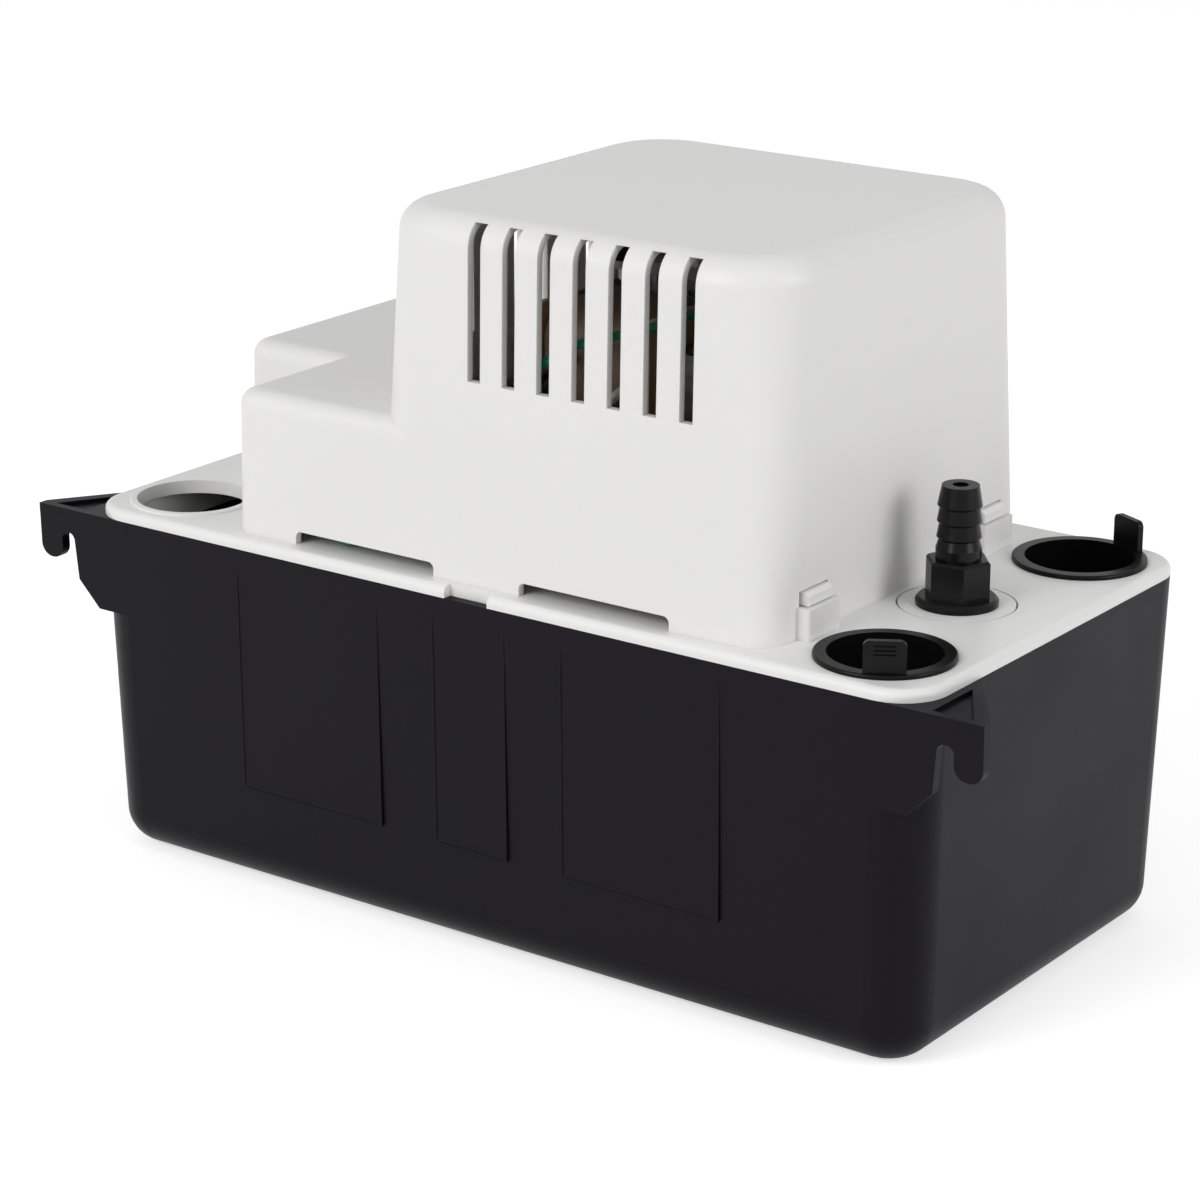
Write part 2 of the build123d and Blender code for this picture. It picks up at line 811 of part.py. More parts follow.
with BuildPart() as stator_laminations:
    with BuildSketch(Plane.XY.offset(stack_bottom)):
        with Locations(motor_axis):
            with Locations((0, (stack_back - stack_front) / 2)):
                RectangleRounded(2 * stack_half_length, stack_back + stack_front, stack_corner)
            with Locations((0, -(stack_window_front + stack_window_back) / 2)):
                Rectangle(2 * window_half_length, stack_window_front - stack_window_back, mode=Mode.SUBTRACT)
            Circle(rotor_radius + air_gap, mode=Mode.SUBTRACT)
            with Locations(*shading_slots):
                Rectangle(shading_wire + pin_clearance, shading_wire + pin_clearance, mode=Mode.SUBTRACT)
        with Locations(*post_places):
            Circle(screw_hole_radius, mode=Mode.SUBTRACT)
    extrude(amount=stack_height)
save(stator_laminations.part, "stator_laminations")

bar_length = abs(shading_ys[1] - shading_ys[0]) + shading_wire
with BuildPart() as shading_rings:
    for side in (1, -1):
        ring_y = motor_y - side * sum(shading_ys) / 2
        with BuildSketch(Plane.YZ.offset(motor_x + side * shading_x - shading_wire / 2)):
            with Locations((ring_y, stack_bottom + stack_height / 2)):
                Rectangle(bar_length, stack_height + 2 * shading_wire)
                Rectangle(bar_length - 2 * shading_wire, stack_height, mode=Mode.SUBTRACT)
        extrude(amount=shading_wire)
save(shading_rings.part, "shading_rings")


def leg_sleeve(inner, outer, corner, plane, length):
    """A sleeve round the stator's wound leg, drawn both ways from a plane."""
    with BuildPart() as sleeve:
        with BuildSketch(plane):
            with Locations(leg_centre):
                RectangleRounded(leg_width + 2 * outer, stack_height + 2 * outer, corner)
                Rectangle(leg_width + 2 * inner, stack_height + 2 * inner, mode=Mode.SUBTRACT)
        extrude(amount=length / 2, both=True)
    return sleeve.part


bobbin_outer = bobbin_gap + bobbin_wall
coil_outer = bobbin_outer + coil_build
with BuildPart() as coil_bobbin:
    add(leg_sleeve(bobbin_gap, bobbin_outer, bobbin_wall, leg_plane, coil_length))
    for side in (1, -1):
        flange_plane = leg_plane.offset(side * (coil_length + bobbin_flange) / 2)
        add(leg_sleeve(bobbin_gap, coil_outer, stack_corner, flange_plane, bobbin_flange))
save(coil_bobbin.part, "coil_bobbin")
coil_core = bobbin_outer + pin_clearance
save(leg_sleeve(coil_core, coil_outer - bobbin_gap, coil_corner, leg_plane, coil_length - pin_clearance), "motor_coil")


def bearing_bracket(seat, way):
    """A bridge on two stand-offs with the bearing's hub; way is its outer side."""
    plane = Plane(origin=(0, 0, seat), x_dir=(1, 0, 0), z_dir=(0, 0, way))
    middle = (motor_x, way * motor_y)
    feet = [(x, way * y) for x, y in post_places]
    with BuildPart() as bracket:
        with BuildSketch(plane):
            with Locations(*feet):
                Circle(bracket_foot_radius)
        extrude(amount=bracket_stand)
        with BuildSketch(plane.offset(bracket_stand)):
            with Locations(middle):
                SlotCenterToCenter(2 * screw_reach, bracket_width)
        extrude(amount=bracket_plate)
        with BuildSketch(plane.offset(bracket_stand)):
            with Locations(middle):
                Circle(hub_radius)
        extrude(amount=hub_height)
        with BuildSketch(plane):
            with Locations(*feet):
                Circle(screw_hole_radius)
            with Locations(middle):
                Circle(bearing_radius + shaft_clearance)
        extrude(amount=bracket_stand + hub_height, mode=Mode.SUBTRACT)
    return bracket.part


def round_piece(base, length, outer, inner=0.0, centre=motor_axis):
    """A disc, ring or rod that stands on a height, on the motor's axis unless told."""
    with BuildPart() as piece:
        with BuildSketch(Plane.XY.offset(base)):
            with Locations(centre):
                Circle(outer)
                if inner > 0:
                    Circle(inner, mode=Mode.SUBTRACT)
        extrude(amount=length)
    return piece.part


bearing_inset = (hub_height - bearing_length) / 2
bearing_bore = shaft_radius + shaft_clearance
save(bearing_bracket(stack_top, 1), "upper_bearing_bracket")
save(bearing_bracket(stack_bottom, -1), "lower_bearing_bracket")
upper_bearing_z = bridge_bottom + bearing_inset
lower_bearing_z = stack_bottom - bracket_stand - bearing_inset - bearing_length
save(round_piece(upper_bearing_z, bearing_length, bearing_radius, bearing_bore), "upper_bearing")
save(round_piece(lower_bearing_z, bearing_length, bearing_radius, bearing_bore), "lower_bearing")

impeller_top = volute_ceiling - impeller_gap
impeller_base = impeller_top - impeller_plate - vane_height
shaft_bottom = impeller_base + impeller_gap / 2
save(round_piece(shaft_bottom, fan_bottom + fan_hub_height - shaft_bottom, shaft_radius), "motor_shaft")

press_bore = shaft_radius + shaft_clearance / 2
with BuildPart() as rotor:
    add(round_piece(stack_bottom, stack_height, rotor_radius, press_bore))
    for base in (stack_bottom - end_ring, stack_top):
        add(round_piece(base, end_ring, rotor_radius - air_gap, rotor_radius / 2))
save(rotor.part, "rotor")

with BuildPart() as cooling_fan:
    add(round_piece(fan_bottom, fan_hub_height, fan_hub_radius))
    fillet(cooling_fan.faces().sort_by(Axis.Z)[-1].edges(), fan_blade)
    for x, y in ring_points(fan_blades, 1):
        tilt = radians(fan_pitch)
        blade_plane = Plane(
            origin=(motor_x, motor_y, fan_bottom + fan_hub_height / 2),
            x_dir=(x, y, 0),
            z_dir=(-y * sin(tilt), x * sin(tilt), cos(tilt)),
        )
        with BuildSketch(blade_plane) as blade:
            with BuildLine():
                Polyline(
                    (fan_hub_radius / 2, -fan_root / 2),
                    (fan_radius, -fan_tip / 2),
                    (fan_radius, fan_tip / 2),
                    (fan_hub_radius / 2, fan_root / 2),
                    close=True,
                )
            make_face()
            fillet(blade.vertices().group_by(Axis.X)[-1], fan_tip_radius)
        extrude(amount=fan_blade / 2, both=True)
    add(round_piece(fan_bottom, fan_hub_height, press_bore), mode=Mode.SUBTRACT)
save(cooling_fan.part, "cooling_fan")

with BuildPart() as motor_screws:
    for place in post_places:
        add(round_piece(bridge_top, screw_head_height, screw_head_radius, centre=place))
        screw_tip = motor_floor - screw_bite + face_gap
        add(round_piece(screw_tip, bridge_top - screw_tip, screw_radius, centre=place))
save(motor_screws.part, "motor_screws")


# ================================================================ pump
tube_radius = tube_bore_radius + tube_wall
throat_y = -volute_throat - volute_growth / 2
outlet_y = motor_y + throat_y
outlet_z = (volute_bottom + volute_ceiling) / 2
outlet_end = motor_x + volute_throat + volute_growth + volute_outlet_length


def spiral(growth):
    """A volute's outline: its radius grows evenly over one turn."""
    steps = [i / spiral_steps for i in range(spiral_steps + 1)]
    points = []
    for part_turn in steps:
        angle = 2 * pi * part_turn - pi / 2
        radius = volute_throat + volute_growth * part_turn + growth
        points.append((radius * cos(angle), radius * sin(angle)))
    return Spline(*points), Line(points[-1], points[0])


def volute_sketch(growth):
    """The volute's outline as a sketch on its own plane at the motor's axis."""
    with BuildSketch(Plane(origin=(motor_x, motor_y, 0))) as outline:
        with BuildLine():
            spiral(growth)
        make_face()
    return outline.sketch


screw_spots = []
for turn in volute_screw_turns:
    reach = volute_throat + volute_growth * turn + volute_wall + volute_screw_radius / 2
    screw_spots.append((
        motor_x + reach * cos(2 * pi * turn - pi / 2),
        motor_y + reach * sin(2 * pi * turn - pi / 2),
    ))


def volute_disc(base, height):
    """The volute's outline with its screw ears, as a plate on a height."""
    with BuildPart() as disc:
        add(volute_sketch(volute_wall).moved(Location((0, 0, base))))
        extrude(amount=height)
        for spot in screw_spots:
            add(round_piece(base, height, volute_ear_radius, centre=spot))
    return disc.part


with BuildPart() as volute_housing:
    add(volute_disc(volute_bottom, volute_top - volute_bottom))
    with BuildSketch(Plane.YZ.offset(motor_x)):
        with Locations((outlet_y, outlet_z)):
            Circle(tube_radius)
    extrude(amount=outlet_end - motor_x)
    with BuildSketch(Plane.YZ.offset(outlet_end)):
        with Locations((outlet_y, outlet_z)):
            Circle(tube_bore_radius - pin_clearance)
    extrude(amount=nipple_length)
    add(volute_sketch(0).moved(Location((0, 0, volute_bottom))))
    extrude(amount=volute_chamber, mode=Mode.SUBTRACT)
    with BuildSketch(Plane.YZ.offset(motor_x)):
        with Locations((outlet_y, outlet_z)):
            Circle(valve_bore_radius)
    extrude(amount=outlet_end + nipple_length - motor_x, mode=Mode.SUBTRACT)
    for spot in screw_spots:
        add(round_piece(volute_bottom, volute_screw_bite, volute_screw_radius, centre=spot), mode=Mode.SUBTRACT)
    add(round_piece(volute_ceiling, volute_plate, shaft_radius + air_gap), mode=Mode.SUBTRACT)
save(volute_housing.part, "volute_housing")

cover_base = volute_bottom - intake_plate
with BuildPart() as intake_cover:
    add(volute_disc(cover_base, intake_plate))
    for x, y in ring_points(foot_count, foot_circle, start=foot_turn):
        add(round_piece(cover_base - foot_height, foot_height, foot_radius, centre=(motor_x + x, motor_y + y)))
    for spot in screw_spots:
        add(round_piece(cover_base, intake_plate, volute_screw_radius + pin_clearance, centre=spot), mode=Mode.SUBTRACT)
    add(round_piece(cover_base, intake_plate, intake_radius), mode=Mode.SUBTRACT)
save(intake_cover.part, "intake_cover")

with BuildPart() as volute_screws:
    for spot in screw_spots:
        add(round_piece(cover_base - volute_screw_radius, volute_screw_radius, 2 * volute_screw_radius, centre=spot))
        bite = intake_plate + volute_screw_bite - face_gap
        add(round_piece(cover_base, bite, volute_screw_radius - pin_clearance, centre=spot))
save(volute_screws.part, "volute_screws")

with BuildPart() as impeller:
    add(round_piece(impeller_top - impeller_plate, impeller_plate, impeller_radius))
    add(round_piece(impeller_base, impeller_plate + vane_height, impeller_hub_radius))
    for i in range(impeller_vanes):
        turn = 2 * pi * i / impeller_vanes
        lag = radians(vane_sweep)
        reach = impeller_radius - vane_wall
        root = (vane_root * cos(turn), vane_root * sin(turn))
        middle = (reach * vane_bow * cos(turn - lag * vane_bow), reach * vane_bow * sin(turn - lag * vane_bow))
        tip = (reach * cos(turn - lag), reach * sin(turn - lag))
        with BuildSketch(Plane(origin=(motor_x, motor_y, impeller_base))):
            with BuildLine():
                Spline(root, middle, tip)
            trace(line_width=vane_wall)
        extrude(amount=vane_height)
    add(round_piece(impeller_base, impeller_plate + vane_height, press_bore), mode=Mode.SUBTRACT)
save(impeller.part, "impeller")

with BuildPart() as pump_column:
    add(round_piece(volute_top, tank_height - volute_top, column_radius, column_radius - column_wall))
    add(round_piece(tank_height - column_flange, column_flange, column_flange_radius, column_radius - column_wall))
    port_z = volute_top + 2 * column_port_radius
    for plane, centre in ((Plane.XZ, motor_x), (Plane.YZ, motor_y)):
        with BuildSketch(plane):
            with Locations((centre, port_z)):
                Circle(column_port_radius)
        extrude(amount=tank_length / 2, both=True, mode=Mode.SUBTRACT)
save(pump_column.part, "pump_column")

riser_path_points = (
    (outlet_end, outlet_y, outlet_z),
    (discharge_x - riser_back, outlet_y, outlet_z),
    (discharge_x, discharge_y, outlet_z + riser_climb),
    (discharge_x, discharge_y, adapter_bottom),
)


def riser(radius):
    """A round bar along the riser's route."""
    with BuildPart() as bar:
        with BuildLine() as route:
            FilletPolyline(*riser_path_points, radius=riser_radius)
        with BuildSketch(Plane(origin=riser_path_points[0], z_dir=(1, 0, 0))):
            Circle(radius)
        sweep(path=route.wires()[0])
    return bar.part


with BuildPart() as discharge_tube:
    add(riser(tube_radius))
    add(riser(tube_bore_radius), mode=Mode.SUBTRACT)
save(discharge_tube.part, "discharge_tube")


# ================================================================ float switch
arm_bore = pin_radius + pin_clearance
float_top = float_bottom + float_height
pin_span = 2 * (lug_start + lug_wall + ear_gap)
pivot_plane = Plane(origin=(pivot_x, 0, pivot_z), x_dir=(1, 0, 0), z_dir=(0, -1, 0))


def cross_rod(x, z, radius, length, centre_y=0.0):
    """A round bar along Y."""
    with BuildPart() as rod:
        with BuildSketch(Plane.XZ.offset(-centre_y)):
            with Locations((x, z)):
                Circle(radius)
        extrude(amount=length / 2, both=True)
    return rod.part


save(cross_rod(pivot_x, pivot_z, pin_radius, pin_span), "float_pivot_pin")

with BuildPart() as float_body:
    with BuildSketch(Plane.XY.offset(float_bottom)):
        with Locations((float_x, 0)):
            RectangleRounded(float_length, float_width, float_radius)
    extrude(amount=float_height)
    fillet(float_body.faces().group_by(Axis.Z)[0].edges(), float_radius / 2)
    fillet(float_body.faces().group_by(Axis.Z)[-1].edges(), float_radius / 2)
save(float_body.part, "float")

with BuildPart() as float_arm:
    with BuildSketch(pivot_plane):
        with BuildLine():
            Polyline(
                (0, 0),
                (float_x - pivot_x + arm_crank, float_top + arm_crank - pivot_z),
                (float_x - pivot_x, float_top + arm_foot - pivot_z),
            )
        trace(line_width=arm_width)
    extrude(amount=arm_thickness / 2, both=True)
    with BuildSketch(Plane.XY.offset(float_top)):
        with Locations((float_x, 0)):
            RectangleRounded(2 * arm_thickness, 2 * arm_thickness, arm_foot)
    extrude(amount=arm_foot)
    add(cross_rod(pivot_x, pivot_z, arm_hub_radius, arm_hub_length))
    with BuildSketch(Plane.YZ.offset(pivot_x)) as paddle:
        with Locations((0, pivot_z)):
            Rectangle(paddle_width, paddle_rise, align=(Align.CENTER, Align.MIN))
        fillet(paddle.vertices().group_by(Axis.Y)[-1], paddle_wall)
    extrude(amount=paddle_wall / 2, both=True)
    with BuildSketch(Plane.XY.offset(float_top - arm_width)):
        with Locations((float_x, 0)):
            Rectangle(float_length, float_width)
    extrude(amount=arm_width, mode=Mode.SUBTRACT)
    add(cross_rod(pivot_x, pivot_z, arm_bore, arm_hub_length), mode=Mode.SUBTRACT)
save(float_arm.part, "float_arm")

# two microswitches back to back on a web, each with a lever and a button
lever_x = switch_left - lever_stand
lever_z = switch_top - lever_pivot_drop
button_z = lever_z - button_drop
switch_middle = (web_wall + switch_thickness) / 2
lever_tip_x = pivot_x + paddle_wall / 2 + face_gap + lever_wall / 2
lever_lean = asin((lever_x - lever_tip_x) / lever_length)
lever_pin_radius = lever_eye_radius / 2
button_body = button_stand / 2
screw_drops = (screw_inset, switch_height - screw_inset)
switch_screw_x = switch_left + switch_depth - screw_inset
screw_line = [(switch_screw_x, switch_bottom + drop) for drop in screw_drops]
slab_length = switch_thickness + web_wall


def upright(centre_y, thickness, left, bottom, width, height):
    """A block that stands across Y, given by its corner in the XZ plane."""
    with BuildPart() as block:
        with BuildSketch(Plane.XZ.offset(-centre_y)):
            with Locations((left, bottom)):
                Rectangle(width, height, align=(Align.MIN, Align.MIN))
        extrude(amount=thickness / 2, both=True)
    return block.part


def switch_body(side):
    """A microswitch case with the eye and pin of its lever."""
    y = side * switch_middle
    ear_y = lever_width / 2 + ear_gap + lever_ear_wall / 2
    with BuildPart() as body:
        add(upright(y, switch_thickness, switch_left, switch_bottom, switch_depth, switch_height))
        chamfer(body.edges().filter_by(Axis.X), case_chamfer)
        for ear_side in (1, -1):
            add(upright(
                y + ear_side * ear_y, lever_ear_wall,
                lever_x - lever_eye_radius, lever_z - lever_eye_radius,
                lever_stand + lever_eye_radius, 2 * lever_eye_radius,
            ))
        add(cross_rod(lever_x, lever_z, lever_pin_radius, 2 * ear_y, y))
        for x, z in screw_line:
            add(cross_rod(x, z, switch_hole_radius, switch_thickness, y), mode=Mode.SUBTRACT)
        with BuildSketch(Plane.YZ.offset(switch_left)):
            with Locations((y, button_z)):
                Circle(button_radius + pin_clearance)
        extrude(amount=button_body + button_travel + face_gap, mode=Mode.SUBTRACT)
    return body.part


def switch_lever(side):
    """A flat lever on an eye, leaning out to the float's paddle."""
    y = side * switch_middle
    with BuildPart() as lever:
        add(cross_rod(lever_x, lever_z, lever_eye_radius, lever_width, y))
        lever_plane = Plane(
            origin=(lever_x, y, lever_z), x_dir=(0, 1, 0), z_dir=(-cos(lever_lean), 0, sin(lever_lean))
        )
        with BuildSketch(lever_plane):
            with Locations((0, 0)):
                Rectangle(lever_width, lever_length, align=(Align.CENTER, Align.MIN))
        extrude(amount=lever_wall / 2, both=True)
        add(cross_rod(lever_x, lever_z, lever_pin_radius + shaft_clearance, lever_width, y), mode=Mode.SUBTRACT)
    return lever.part


def switch_button(side):
    """The button that the lever presses."""
    with BuildPart() as button:
        with BuildSketch(Plane.YZ.offset(switch_left + button_body)):
            with Locations((side * switch_middle, button_z)):
                Circle(button_radius)
        extrude(amount=-button_body - button_stand)
        fillet(button.edges().sort_by(Axis.X)[0], button_radius / 2)
    return button.part


for name, side in (("run_switch", -1), ("safety_switch", 1)):
    save(switch_body(side), name)
    save(switch_lever(side), f"{name}_lever")
    save(switch_button(side), f"{name}_button")

bracket_right = switch_left + switch_depth + bracket_toe
with BuildPart() as switch_bracket:
    add(upright(0, web_wall, switch_left, deck_top, switch_depth, switch_top - deck_top))
    with BuildSketch(Plane.XY.offset(deck_top)):
        with Locations((switch_left, 0)):
            Rectangle(bracket_right - switch_left, 2 * slab_length, align=(Align.MIN, Align.CENTER))
    extrude(amount=bracket_base)
    for x, z in screw_line:
        add(cross_rod(x, z, switch_hole_radius, web_wall), mode=Mode.SUBTRACT)
save(switch_bracket.part, "switch_bracket")

with BuildPart() as switch_screws:
    for x, z in screw_line:
        span = 2 * slab_length - web_wall
        add(cross_rod(x, z, switch_hole_radius - pin_clearance, span))
        for side in (1, -1):
            add(cross_rod(x, z, 2 * switch_hole_radius, switch_hole_radius, side * (span + switch_hole_radius) / 2))
save(switch_screws.part, "switch_screws")

blade_x = switch_left + switch_depth
with BuildPart() as switch_terminals:
    for side in (1, -1):
        for drop in blade_drops:
            add(upright(
                side * switch_middle, blade_wall,
                blade_x, switch_top - drop - blade_width / 2, blade_length, blade_width,
            ))
save(switch_terminals.part, "switch_terminals")


# ================================================================ cord gland
gland_z = deck_top + cord_hole_rise
gland_face = cover_half_width - (cord_hole_rise - gland_flange_radius) * cover_slope
gland_plane = Plane(origin=(cord_hole_x, gland_face, gland_z), x_dir=(-1, 0, 0), z_dir=(0, 1, 0))
with BuildPart() as cord_gland:
    with BuildSketch(gland_plane):
        Circle(gland_flange_radius)
    extrude(amount=gland_flange)
    fillet(cord_gland.edges().sort_by(Axis.Y)[-1], gland_flange / 2)
    with BuildSketch(gland_plane):
        Circle(gland_radius)
    extrude(amount=-gland_length)
    with BuildSketch(gland_plane.offset(gland_flange)):
        Circle(gland_bore_radius)
    extrude(amount=-gland_length - gland_flange, mode=Mode.SUBTRACT)
save(cord_gland.part, "cord_gland")


# ================================================================ leads
def lead(points):
    """An insulated lead along straight runs joined by arcs."""
    start, following = Vector(*points[0]), Vector(*points[1])
    with BuildPart() as wire:
        with BuildLine() as route:
            FilletPolyline(*points, radius=lead_bend)
        with BuildSketch(Plane(origin=start, z_dir=following - start)):
            Circle(lead_radius)
        sweep(path=route.wires()[0])
    return wire.part


for name, way_points in lead_routes.items():
    save(lead([(x, y, deck_top + rise) for x, y, rise in way_points]), name)
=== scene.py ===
"""Looks of a condensate pump: its finishes, its small fittings and a plain studio.

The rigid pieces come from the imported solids. This script gives each one its finish, adds the taped winding
and the fine beads on the reservoir's pads, and sets the floor, the lamps and the camera.
Lengths are metres and angles are degrees unless a name says otherwise.
"""

import logging
import math
from dataclasses import dataclass
from enum import Enum

import bpy
import numpy as np
from mathutils import Matrix, Vector

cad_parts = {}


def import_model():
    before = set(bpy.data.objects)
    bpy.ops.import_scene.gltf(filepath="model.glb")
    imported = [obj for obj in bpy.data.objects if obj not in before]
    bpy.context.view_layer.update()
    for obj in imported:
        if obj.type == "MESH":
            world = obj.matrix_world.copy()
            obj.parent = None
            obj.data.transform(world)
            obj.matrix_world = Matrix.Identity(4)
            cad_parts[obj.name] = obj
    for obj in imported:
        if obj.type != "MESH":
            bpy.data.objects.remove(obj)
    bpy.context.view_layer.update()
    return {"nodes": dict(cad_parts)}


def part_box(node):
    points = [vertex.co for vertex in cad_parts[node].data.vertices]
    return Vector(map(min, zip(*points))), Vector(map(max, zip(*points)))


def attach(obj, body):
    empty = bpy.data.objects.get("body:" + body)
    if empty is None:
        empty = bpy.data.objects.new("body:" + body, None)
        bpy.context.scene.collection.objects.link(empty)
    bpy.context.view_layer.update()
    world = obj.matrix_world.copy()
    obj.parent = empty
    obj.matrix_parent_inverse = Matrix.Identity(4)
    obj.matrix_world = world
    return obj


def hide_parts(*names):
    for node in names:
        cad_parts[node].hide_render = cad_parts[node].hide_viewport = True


LOG = logging.getLogger("condensate_pump")
MM = 0.001
SCATTER_DEPTH = 1.5 * MM
CLOUD_SIZE = 45 * MM
CLOUD_DETAIL = 5.0
CLOUD_LOW, CLOUD_HIGH = 0.3, 0.7
GLOSSIEST = 0.05
GRAIN_DETAIL = 2.0
BRUSH_STRETCH = (0.05, 1.0, 1.0)
WAVE_REPEAT = 0.314
BUMP_STRENGTH = 0.6
PUMP_MIDDLE = (0.0, 0.0, 0.08)
Colour = tuple[float, float, float]
Point = tuple[float, float, float]


# ---------------------------------------------------------------- finishes
class Grain(Enum):
    """How the surface of a finish is roughened."""

    SMOOTH = "smooth"
    MOULDED = "moulded"
    BRUSHED = "brushed"
    FOAMED = "foamed"
    LAMINATED = "laminated"


@dataclass(frozen=True)
class Finish:
    """One material of the pump, with its colour, gloss and surface grain.

    Attributes:
        name: material name.
        colour: linear base colour.
        roughness: middle roughness of the surface.
        metallic: 1 for bare metal.
        specular: specular level of the shader.
        grain: kind of surface relief.
        pitch: size of one grain, in metres; a laminated band is 2 pi pitches wide.
        relief: height of the grain, in metres.
        mottle: share by which the colour drifts over the surface.
        sheen_spread: amount by which the roughness drifts either way.
        transmission: share of light let through.
        glow_through: share of light that scatters inside the plastic.
    """

    name: str
    colour: Colour
    roughness: float
    metallic: float = 0.0
    specular: float = 0.5
    grain: Grain = Grain.MOULDED
    pitch: float = 0.6 * MM
    relief: float = 0.02 * MM
    mottle: float = 0.03
    sheen_spread: float = 0.05
    transmission: float = 0.0
    glow_through: float = 0.0

    def build(self) -> bpy.types.Material:
        """Make the material with its shader nodes.

        Returns:
            The finished material.
        """
        material = bpy.data.materials.new(self.name)
        material.use_nodes = True
        tree = material.node_tree
        tree.nodes.clear()
        output = tree.nodes.new("ShaderNodeOutputMaterial")
        shader = tree.nodes.new("ShaderNodeBsdfPrincipled")
        tree.links.new(shader.outputs["BSDF"], output.inputs["Surface"])
        shader.inputs["Metallic"].default_value = self.metallic
        shader.inputs["Specular IOR Level"].default_value = self.specular
        shader.inputs["Transmission Weight"].default_value = self.transmission
        shader.inputs["Subsurface Weight"].default_value = self.glow_through
        shader.inputs["Subsurface Radius"].default_value = (1.0, 1.0, 1.0)
        shader.inputs["Subsurface Scale"].default_value = SCATTER_DEPTH
        place = tree.nodes.new("ShaderNodeTexCoord").outputs["Object"]
        self._drift(tree, place, shader)
        if self.grain is not Grain.SMOOTH:
            self._relief(tree, place, shader)
        return material

    def _drift(
        self, tree: bpy.types.NodeTree, place: bpy.types.NodeSocket, shader: bpy.types.Node
    ) -> None:
        """Let the colour and the roughness wander slowly over the surface.

        Args:
            tree: node tree that receives the nodes.
            place: object coordinates.
            shader: the surface shader.
        """
        cloud = tree.nodes.new("ShaderNodeTexNoise")
        cloud.inputs["Scale"].default_value = 1 / CLOUD_SIZE
        cloud.inputs["Detail"].default_value = CLOUD_DETAIL
        tree.links.new(place, cloud.inputs["Vector"])
        tone = tree.nodes.new("ShaderNodeMapRange")
        tone.inputs["From Min"].default_value = CLOUD_LOW
        tone.inputs["From Max"].default_value = CLOUD_HIGH
        tone.inputs["To Min"].default_value = 1 - self.mottle
        tone.inputs["To Max"].default_value = 1 + self.mottle
        tree.links.new(cloud.outputs["Fac"], tone.inputs["Value"])
        tint = tree.nodes.new("ShaderNodeVectorMath")
        tint.operation = "SCALE"
        tint.inputs[0].default_value = self.colour
        tree.links.new(tone.outputs["Result"], tint.inputs["Scale"])
        tree.links.new(tint.outputs["Vector"], shader.inputs["Base Color"])
        gloss = tree.nodes.new("ShaderNodeMapRange")
        gloss.inputs["From Min"].default_value = CLOUD_LOW
        gloss.inputs["From Max"].default_value = CLOUD_HIGH
        gloss.inputs["To Min"].default_value = max(self.roughness - self.sheen_spread, GLOSSIEST)
        gloss.inputs["To Max"].default_value = min(self.roughness + self.sheen_spread, 1.0)
        tree.links.new(cloud.outputs["Fac"], gloss.inputs["Value"])
        tree.links.new(gloss.outputs["Result"], shader.inputs["Roughness"])

    def _relief(
        self, tree: bpy.types.NodeTree, place: bpy.types.NodeSocket, shader: bpy.types.Node
    ) -> None:
        """Add the grain as a bump.

        Args:
            tree: node tree that receives the nodes.
            place: object coordinates.
            shader: the surface shader.
        """
        stretch = tree.nodes.new("ShaderNodeMapping")
        tree.links.new(place, stretch.inputs["Vector"])
        if self.grain is Grain.BRUSHED:
            stretch.inputs["Scale"].default_value = BRUSH_STRETCH
        if self.grain is Grain.LAMINATED:
            pattern = tree.nodes.new("ShaderNodeTexWave")
            pattern.bands_direction = "Z"
            pattern.inputs["Scale"].default_value = 1 / (self.pitch * 2 * math.pi) * WAVE_REPEAT
        elif self.grain is Grain.FOAMED:
            pattern = tree.nodes.new("ShaderNodeTexVoronoi")
            pattern.inputs["Scale"].default_value = 1 / self.pitch
        else:
            pattern = tree.nodes.new("ShaderNodeTexNoise")
            pattern.inputs["Scale"].default_value = 1 / self.pitch
            pattern.inputs["Detail"].default_value = GRAIN_DETAIL
        tree.links.new(stretch.outputs["Vector"], pattern.inputs["Vector"])
        bump = tree.nodes.new("ShaderNodeBump")
        bump.inputs["Strength"].default_value = BUMP_STRENGTH
        bump.inputs["Distance"].default_value = self.relief
        height = "Distance" if self.grain is Grain.FOAMED else "Fac"
        tree.links.new(pattern.outputs[height], bump.inputs["Height"])
        tree.links.new(bump.outputs["Normal"], shader.inputs["Normal"])


COVER_WHITE = Finish("cover_white", (0.815, 0.81, 0.795), 0.42, specular=0.35, pitch=0.5 * MM,
                     relief=0.02 * MM, mottle=0.01, glow_through=0.25)
DECK_WHITE = Finish("deck_white", (0.835, 0.832, 0.82), 0.38, specular=0.4, relief=0.015 * MM,
                    mottle=0.01, glow_through=0.2)
RESERVOIR_BLACK = Finish("reservoir_black", (0.0044, 0.0033, 0.0064), 0.42, specular=0.11, pitch=0.8 * MM,
                         relief=0.03 * MM, mottle=0.12, sheen_spread=0.06)
FITTING_BLACK = Finish("fitting_black", (0.0030, 0.0028, 0.0033), 0.24, specular=0.18, relief=0.01 * MM)
PLUG_BLACK = Finish("plug_black", (0.0035, 0.0032, 0.0038), 0.32, specular=0.15)
PUMP_GREY = Finish("pump_grey", (0.10, 0.10, 0.105), 0.45)
FLOAT_FOAM = Finish("float_foam", (0.02, 0.02, 0.021), 0.75, grain=Grain.FOAMED, pitch=1.6 * MM,
                    relief=0.15 * MM)
SOFT_RUBBER = Finish("soft_rubber", (0.012, 0.012, 0.012), 0.6)
STACK_STEEL = Finish("stack_steel", (0.20, 0.19, 0.18), 0.42, metallic=0.85, grain=Grain.LAMINATED,
                     pitch=0.7 * MM, relief=0.12 * MM, mottle=0.15)
